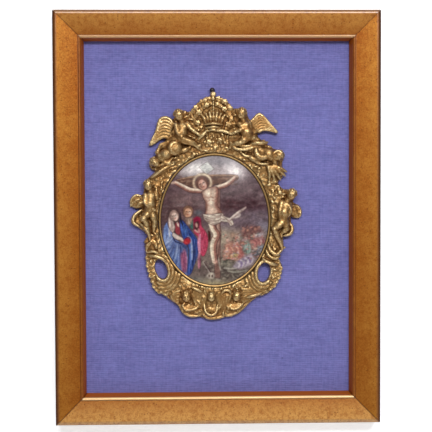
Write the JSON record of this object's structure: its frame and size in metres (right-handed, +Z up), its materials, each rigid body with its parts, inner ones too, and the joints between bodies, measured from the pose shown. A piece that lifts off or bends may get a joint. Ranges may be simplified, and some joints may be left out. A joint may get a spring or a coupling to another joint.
{
  "type": "framed enamel plaque",
  "caption": "Oval domed enamel plaque in a gilt bronze mount cast with figures and scrolls, pinned on a cloth-faced board in a flat gilded wood frame for hanging on a wall.",
  "frame": {"origin": "middle of the flat back face of the top rail, in the plane of the wall", "axes": "+Z up along the frame's height, +Y out of the back into the wall, +X to the right as the front is seen"},
  "size_m": [0.26, 0.024, 0.33],
  "materials": {
    "gilded_wood": "worn warm gold over red-brown, satin, with brown specks",
    "gilt_bronze": "cast and fire gilt, bright on the high places and brown in the hollows",
    "bezel_brass": "plain, softly polished",
    "enamel": "painted enamel under clear gloss",
    "cloth": "matt lilac-blue cloth with fine level ribs",
    "board": "plain brown fibreboard",
    "dark_steel": "dark oxidised steel"
  },
  "bodies": {
    "root": {"frame_rail_top": "gilded_wood", "frame_rail_bottom": "gilded_wood", "frame_rail_left": "gilded_wood", "frame_rail_right": "gilded_wood", "backing_board": "board", "cloth_facing": "cloth", "bronze_mount": "gilt_bronze", "plaque_bezel": "bezel_brass", "enamel_plaque": "enamel", "mount_pin": "dark_steel"}
  },
  "joints": []
}
